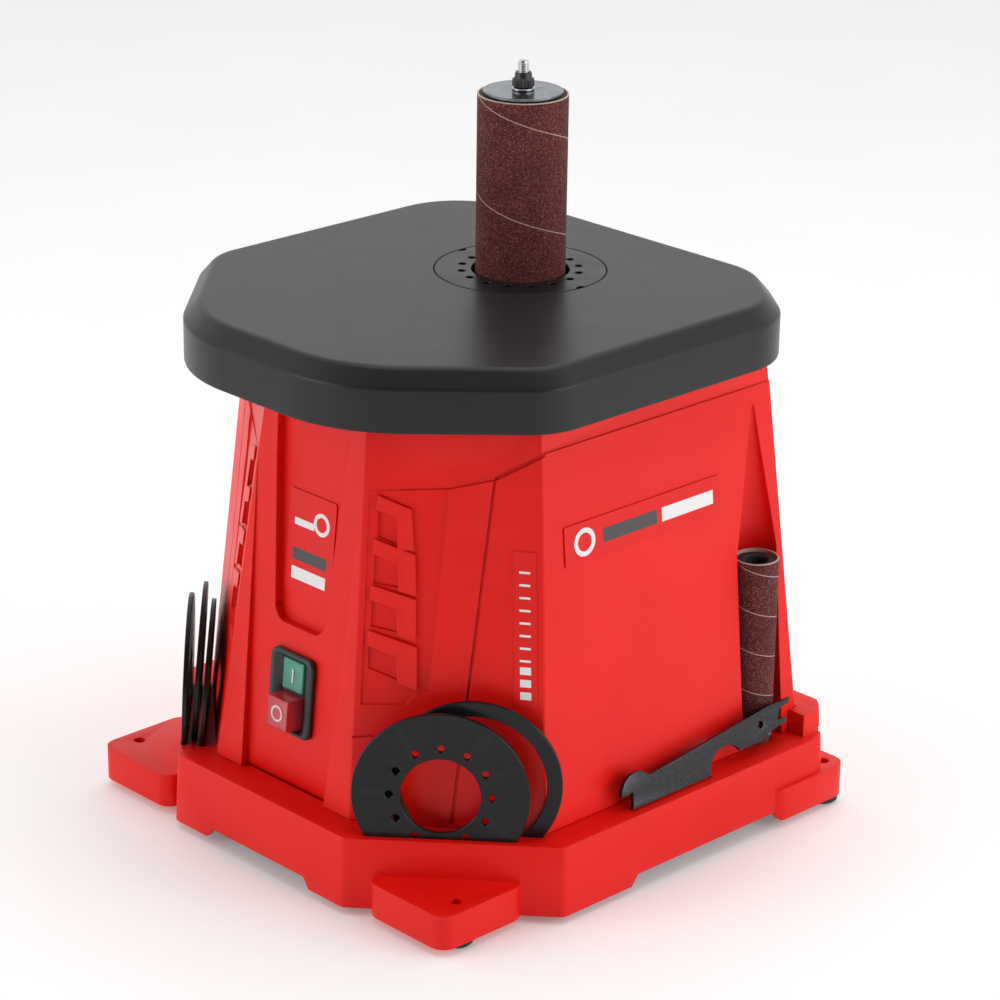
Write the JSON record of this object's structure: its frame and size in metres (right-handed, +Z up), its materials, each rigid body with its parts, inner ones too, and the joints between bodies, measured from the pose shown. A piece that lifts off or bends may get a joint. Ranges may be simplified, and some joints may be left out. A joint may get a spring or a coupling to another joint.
{
  "type": "oscillating spindle sander",
  "caption": "Bench oscillating spindle sander: tapered moulded tower on a footed base, flat black table, upright drum with sanding sleeve, stored inserts and wrench.",
  "frame": {"origin": "centre of the object's footprint box on the floor", "axes": "+X to the operator's right, -Y towards the operator and the switch, +Z up along the spindle"},
  "size_m": [0.328, 0.322, 0.43],
  "materials": {
    "red_housing": "moulded ABS, satin gloss",
    "black_plastic": "fine moulded texture",
    "table_black": "fine textured coat on cast aluminium",
    "bright_steel": "turned",
    "dark_steel": "blackened, smooth",
    "cast_aluminium": "as cast",
    "copper": "enamelled copper wire",
    "gear_brass": "cut bronze",
    "rubber": "matt moulded",
    "abrasive": "aluminium oxide grit on cloth, spiral seam",
    "start_green": "translucent button",
    "stop_red": "translucent button",
    "label_white": "printed film"
  },
  "bodies": {
    "root": {"base_plinth": "red_housing", "bottom_cover": "black_plastic", "rubber_foot_1": "rubber", "rubber_foot_2": "rubber", "rubber_foot_3": "rubber", "rubber_foot_4": "rubber", "body_shell": "red_housing", "table": "table_black", "table_screw_1": "bright_steel", "table_screw_2": "bright_steel", "table_screw_3": "bright_steel", "table_screw_4": "bright_steel", "upper_frame": "cast_aluminium", "upper_bearing": "bright_steel", "motor_housing": "cast_aluminium", "stator_core": "bright_steel", "winding_upper": "copper", "winding_lower": "copper", "motor_end_bell": "cast_aluminium", "lower_bearing": "bright_steel", "gearbox_frame": "cast_aluminium", "guide_rod_1": "bright_steel", "guide_rod_2": "bright_steel", "dust_chute": "black_plastic", "dust_port": "black_plastic", "switch_housing": "black_plastic", "capacitor": "cast_aluminium", "terminal_block": "label_white", "cable_gland": "black_plastic", "front_label": "label_white", "side_label": "label_white", "corner_label": "label_white"},
    "rotor": {"rotor_core": "bright_steel", "rotor_sleeve": "bright_steel", "cooling_fan": "black_plastic", "worm": "bright_steel"},
    "crank_wheel": {"worm_wheel": "gear_brass", "crankshaft": "bright_steel"},
    "carriage": {"carriage": "cast_aluminium", "yoke": "bright_steel", "spindle_bearing": "bright_steel"},
    "spindle": {"spindle_shaft": "bright_steel", "spindle_collar": "bright_steel", "drum_base_washer": "dark_steel"},
    "drum": {"rubber_drum": "rubber"},
    "sleeve": {"sanding_sleeve": "abrasive"},
    "nut": {"spindle_nut": "dark_steel", "spring_washer": "bright_steel", "top_washer": "dark_steel"},
    "insert": {"table_insert": "black_plastic"},
    "start_button": {"start_button": "start_green"},
    "stop_button": {"stop_button": "stop_red"},
    "spare": {"spare_sleeve": "abrasive", "spare_drum": "rubber"},
    "wrench": {"wrench": "dark_steel"},
    "stored_1": {"stored_insert_1": "black_plastic"},
    "stored_2": {"stored_insert_2": "black_plastic"},
    "stored_3": {"stored_insert_3": "black_plastic"},
    "stored_4": {"stored_insert_4": "black_plastic"},
    "stored_5": {"stored_insert_5": "black_plastic"}
  },
  "joints": [
    {"name": "rotor_spin", "type": "hinge", "parent": "root", "child": "rotor", "pos_m": [0, 0.038, 0.18], "axis": [0, 0, 1], "continuous": true},
    {"name": "crank_spin", "type": "hinge", "parent": "root", "child": "crank_wheel", "pos_m": [0, 0.0764, 0.09], "axis": [1, 0, 0], "continuous": true},
    {"name": "spindle_stroke", "type": "slide", "parent": "root", "child": "carriage", "axis": [0, 0, 1], "range_m": [-0.008, 0.008]},
    {"name": "spindle_spin", "type": "hinge", "parent": "carriage", "child": "spindle", "pos_m": [0, 0.038, 0.2], "axis": [0, 0, 1], "continuous": true},
    {"name": "nut_lift", "type": "slide", "parent": "spindle", "child": "nut", "axis": [0, 0, 1], "range_m": [0, 0.29]},
    {"name": "drum_lift", "type": "slide", "parent": "spindle", "child": "drum", "axis": [0, 0, 1], "range_m": [0, 0.145]},
    {"name": "sleeve_lift", "type": "slide", "parent": "drum", "child": "sleeve", "axis": [0, 0, 1], "range_m": [0, 0.125]},
    {"name": "insert_lift", "type": "slide", "parent": "root", "child": "insert", "axis": [0, 0, 1], "range_m": [0, 0.135]},
    {"name": "start_press", "type": "slide", "parent": "root", "child": "start_button", "axis": [0, 0.995, -0.0995], "range_m": [0, 0.003], "stiffness_N_per_m": 300},
    {"name": "stop_press", "type": "slide", "parent": "root", "child": "stop_button", "axis": [0, 0.995, -0.0995], "range_m": [0, 0.003], "stiffness_N_per_m": 300},
    {"name": "stored_1_lift", "type": "slide", "parent": "root", "child": "stored_1", "axis": [0, 0, 1], "range_m": [0, 0.1]},
    {"name": "stored_2_lift", "type": "slide", "parent": "root", "child": "stored_2", "axis": [0, 0, 1], "range_m": [0, 0.1]},
    {"name": "stored_3_lift", "type": "slide", "parent": "root", "child": "stored_3", "axis": [0.0292, 0.0324, 0.999], "range_m": [0, 0.1]},
    {"name": "stored_4_lift", "type": "slide", "parent": "root", "child": "stored_4", "axis": [0.0525, 0.0584, 0.9969], "range_m": [0, 0.1]},
    {"name": "stored_5_lift", "type": "slide", "parent": "root", "child": "stored_5", "axis": [0.0583, 0.0648, 0.9962], "range_m": [0, 0.1]},
    {"name": "spare_lift", "type": "slide", "parent": "root", "child": "spare", "axis": [0, 0, 1], "range_m": [0, 0.014]},
    {"name": "wrench_take", "type": "slide", "parent": "root", "child": "wrench", "axis": [1, 0, 0], "range_m": [0, 0.08]}
  ],
  "couplings": [
    {"joint": "crank_spin", "follows": "rotor_spin", "ratio": 0.029412},
    {"joint": "spindle_spin", "follows": "rotor_spin", "ratio": 1},
    {"joint": "drum_lift", "follows": "nut_lift", "ratio": 0.5}
  ]
}
